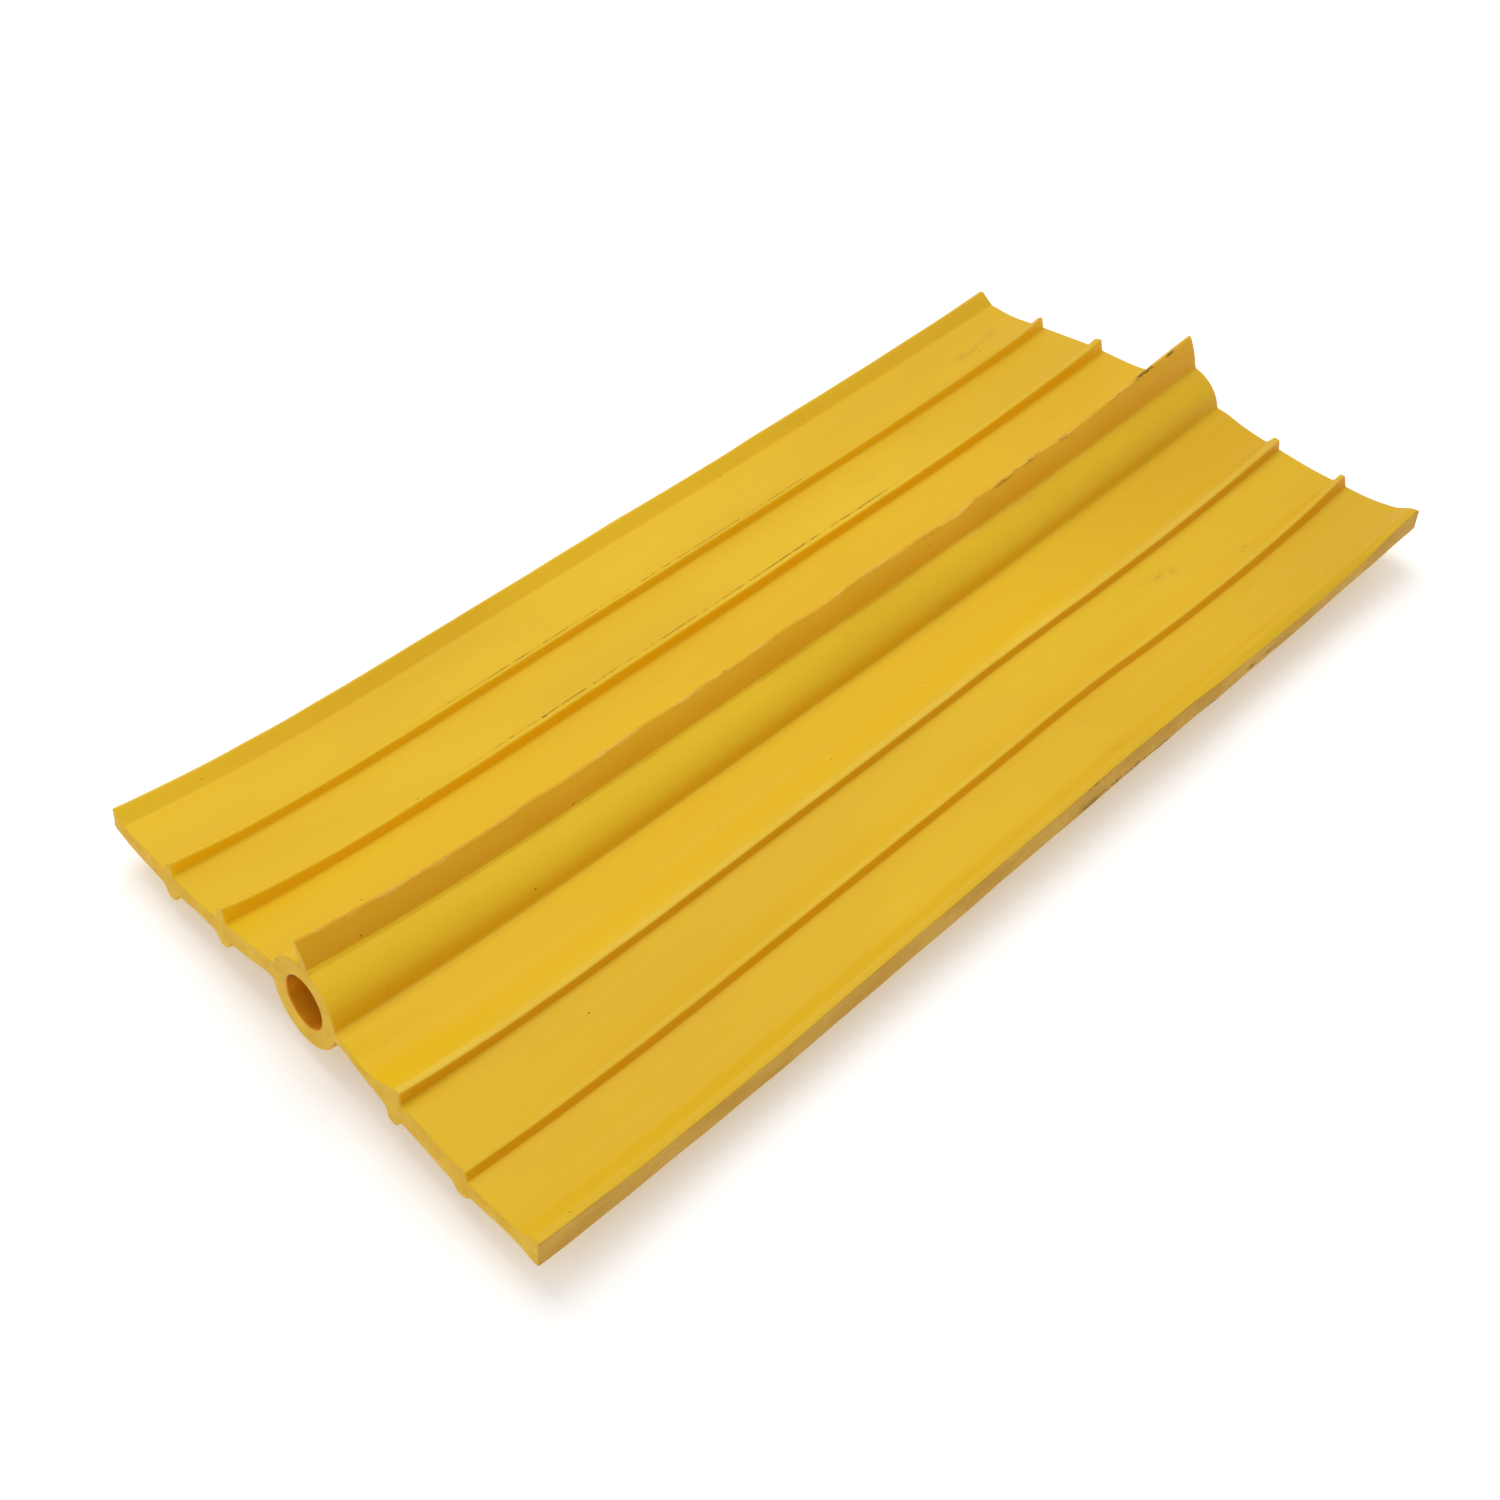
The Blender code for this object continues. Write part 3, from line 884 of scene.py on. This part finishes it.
def add_scuff_lines(finish, colour):
    """Thin broken dark lines and nicks along the outer corner of the left ribs' crests."""
    reach = finish.window(finish.y, SCUFF_SPAN[0], SCUFF_SPAN[1], SCUFF_FADE)
    for rib, rib_x in enumerate(RIB_X):
        corner = -rib_x / MM - RIB_PROFILE["left"][rib][2] + 0.15
        drift = finish.maths("SUBTRACT", finish.noise(0.1, 0.05, 0.1, 3.0), 0.5)
        offset = finish.maths("SUBTRACT", finish.x, corner)
        offset = finish.maths("ABSOLUTE", finish.maths("ADD", offset, drift))
        line = finish.band(offset, 0.42, 0.18)
        dashes = finish.band(finish.noise(0.05, 0.16, 0.3, 5.0, 0.8), 0.42, 0.54)
        colour = finish.mix(finish.product(line, dashes, reach, 0.9), colour, GRIME)
        nick = finish.product(finish.band(offset, 0.9, 0.4), reach,
                              finish.band(finish.noise(0.02, 0.35, 0.02, 2.0), 0.7, 0.74))
        colour = finish.mix(finish.product(nick, 0.85), colour, GRIME)
    return colour


def moulded_pvc(name, scuffed=False):
    """Semi-matt extruded PVC, with wear marks at the fin's trimmed top and, if asked, rubbed dark.
    It has painted shade on the rib flanks, in the bulb crease, on the fin face and towards the
    right and the far end, and painted highlights on the right ribs' crests and the fin's top.
    """
    finish = Finish(name)
    colour, mottle, drawn = yellow_base(finish)
    # Painted shade on the rib flanks, in the bulb crease and on the fin face
    colour = add_painted_shade(finish, colour)
    # Painted highlight along the right ribs' crests
    colour = add_crest_highlight(finish, colour)
    colour, scuff = add_wear(finish, colour)
    if scuffed:
        colour = add_scuff_lines(finish, colour)
    rim = finish.band(finish.rim, 0.35, 0.75)
    broken = finish.band(finish.noise(0.5, 0.16, 0.5, 4.0, 0.75), 0.5, 0.64)
    far = finish.band(finish.y, 150.0, 285.0, 0.08, 0.85)
    colour = finish.mix(finish.product(rim, broken, far), colour, GRIME)
    # Painted highlight: a pale, broken line along the fin's trimmed top edge
    pale = finish.band(finish.noise(0.4, 0.09, 0.4, 3.0, 0.6), 0.52, 0.6)
    colour = finish.mix(finish.product(rim, pale, 0.2), colour, YELLOW_PALE)
    finish.connect("Base Color", colour)
    grain = finish.noise(2.6, 1.9, 2.6, 2.0)
    rough = finish.maths("ADD", finish.band(mottle, 0.3, 0.7, 0.44, 0.52),
                         finish.product(scuff, 0.12))
    finish.connect("Roughness", finish.maths("ADD", rough, finish.product(grain, 0.08)))
    relief = finish.maths("ADD", finish.product(grain, 0.35), finish.product(drawn, 0.2))
    finish.relief(relief, 0.22, 0.05)
    return finish.material


def bore_pvc(name):
    """The bore's wall in painted shade: orange, and a deeper painted shade towards its top."""
    finish = Finish(name)
    cloud = finish.noise(0.2, 0.03, 0.2, 3.0, 0.6)
    colour = finish.mix(finish.band(cloud, 0.3, 0.7), BORE_SHADE_LOW, BORE_SHADE_HIGH)
    # Painted shade: darker brown towards the top of the bore
    top_shade = finish.product(finish.band(finish.h, 1.0, 6.0), 0.7)
    colour = finish.mix(top_shade, colour, BORE_SHADE_DEEP)
    finish.connect("Base Color", colour)
    finish.connect("Roughness", finish.band(cloud, 0.3, 0.7, 0.45, 0.6))
    finish.relief(cloud, 0.3, 0.05)
    return finish.material


def cut_pvc(name, low, high, grime=0.25):
    """Cut or trimmed PVC: duller, with blade marks and, on the edge, patches of dirt."""
    finish = Finish(name)
    cloud = finish.noise(0.12, 0.05, 0.12, 4.0, 0.6)
    colour = finish.mix(finish.band(cloud, 0.3, 0.7), low, high)
    marks = finish.noise(0.25, 0.25, 3.2, 3.0, 0.6)
    colour = finish.mix(finish.product(finish.band(marks, 0.5, 0.7), 0.25), colour, BLADE_MARK)
    dirt = finish.product(finish.band(finish.noise(0.3, 0.035, 0.3, 3.0, 0.7), 0.52, 0.64),
                          finish.band(finish.noise(0.6, 0.5, 0.6, 3.0, 0.8), 0.44, 0.6),
                          finish.window(finish.y, 175.0, 225.0, 30.0), grime)
    colour = finish.mix(dirt, colour, EDGE_DIRT)
    finish.connect("Base Color", colour)
    finish.connect("Roughness", finish.band(marks, 0.3, 0.7, 0.55, 0.75))
    finish.relief(marks, 0.5, 0.1)
    return finish.material


def build_skins():
    """The eight skins, the bulb's on its body and the rest baked in place, each in place of its
    hidden CAD part.
    """
    plain = moulded_pvc("pvc_moulded")
    left = moulded_pvc("pvc_moulded_left", scuffed=True)
    cut = cut_pvc("pvc_cut_end", CUT_LOW, CUT_HIGH)
    trimmed = cut_pvc("pvc_trimmed_edge", TRIMMED_LOW, TRIMMED_HIGH, grime=0.9)
    bore = bore_pvc("pvc_bore")
    bulb = bulb_skin([plain, cut, trimmed, bore])
    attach(bulb, "bulb")
    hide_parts("centre_bulb")
    fin = fin_skin([plain, cut])
    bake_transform(fin)
    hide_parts("centre_fin")
    for side, flip, face in (("left", -1, left), ("right", 1, plain)):
        nodes = ("_inner_rib_panel", "_outer_rib_panel", "_edge_panel")
        for bay, part in enumerate(("root", "middle", "edge")):
            piece = web_skin(f"{side}_{part}_web", bay, side, [face, cut, trimmed])
            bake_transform(piece)
            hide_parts(side + nodes[bay])


def build_camera():
    """Camera at the photograph's viewing angle, from its yaw, pitch and roll."""
    forward = Vector((-math.sin(CAMERA_YAW) * math.cos(CAMERA_PITCH),
                      math.cos(CAMERA_YAW) * math.cos(CAMERA_PITCH),
                      -math.sin(CAMERA_PITCH)))
    level = Vector((math.cos(CAMERA_YAW), math.sin(CAMERA_YAW), 0.0))
    down = forward.cross(level)
    right = level * math.cos(CAMERA_ROLL) + down * math.sin(CAMERA_ROLL)
    down = down * math.cos(CAMERA_ROLL) - level * math.sin(CAMERA_ROLL)
    turn = Matrix((right, -down, -forward)).transposed()
    camera = bpy.data.objects.new("camera", bpy.data.cameras.new("camera"))
    camera.data.lens = CAMERA_LENS
    camera.data.sensor_width = CAMERA_SENSOR
    camera.data.clip_start = 0.01
    camera.matrix_world = Matrix.Translation(CAMERA_AT) @ turn.to_4x4()
    bpy.context.scene.collection.objects.link(camera)
    bpy.context.scene.camera = camera


def build_floor():
    """Plain pale floor with a faint glow, which keeps the soft shadow light."""
    mesh = bpy.data.meshes.new("floor")
    half = FLOOR_HALF
    mesh.from_pydata([(-half, -half, 0), (half, -half, 0), (half, half, 0), (-half, half, 0)],
                     [], [(0, 1, 2, 3)])
    floor = bpy.data.objects.new("floor", mesh)
    bpy.context.scene.collection.objects.link(floor)
    material = bpy.data.materials.new("pale_floor")
    material.use_nodes = True
    shader = material.node_tree.nodes["Principled BSDF"]
    shader.inputs["Base Color"].default_value = FLOOR_COLOUR
    shader.inputs["Roughness"].default_value = 0.9
    shader.inputs["Specular IOR Level"].default_value = 0.0
    shader.inputs["Emission Color"].default_value = WHITE
    shader.inputs["Emission Strength"].default_value = FLOOR_GLOW
    mesh.materials.append(material)


def add_lamp(name, place_at, size, watts):
    """Round area lamp that faces the origin."""
    lamp = bpy.data.lights.new(name, "AREA")
    lamp.shape = "DISK"
    lamp.size = size
    lamp.energy = watts
    made = bpy.data.objects.new(name, lamp)
    made.location = place_at
    made.rotation_euler = (-Vector(place_at)).to_track_quat("-Z", "Y").to_euler()
    bpy.context.scene.collection.objects.link(made)


def build_light():
    """White surroundings and one large soft lamp."""
    world = bpy.data.worlds.new("studio")
    world.use_nodes = True
    background = world.node_tree.nodes["Background"]
    background.inputs["Color"].default_value = WHITE
    background.inputs["Strength"].default_value = WORLD_STRENGTH
    bpy.context.scene.world = world
    add_lamp("key", LAMP_AT, LAMP_SIZE, LAMP_WATTS)
    bpy.context.scene.view_settings.view_transform = "Standard"


build_camera()
build_floor()
build_light()
build_skins()
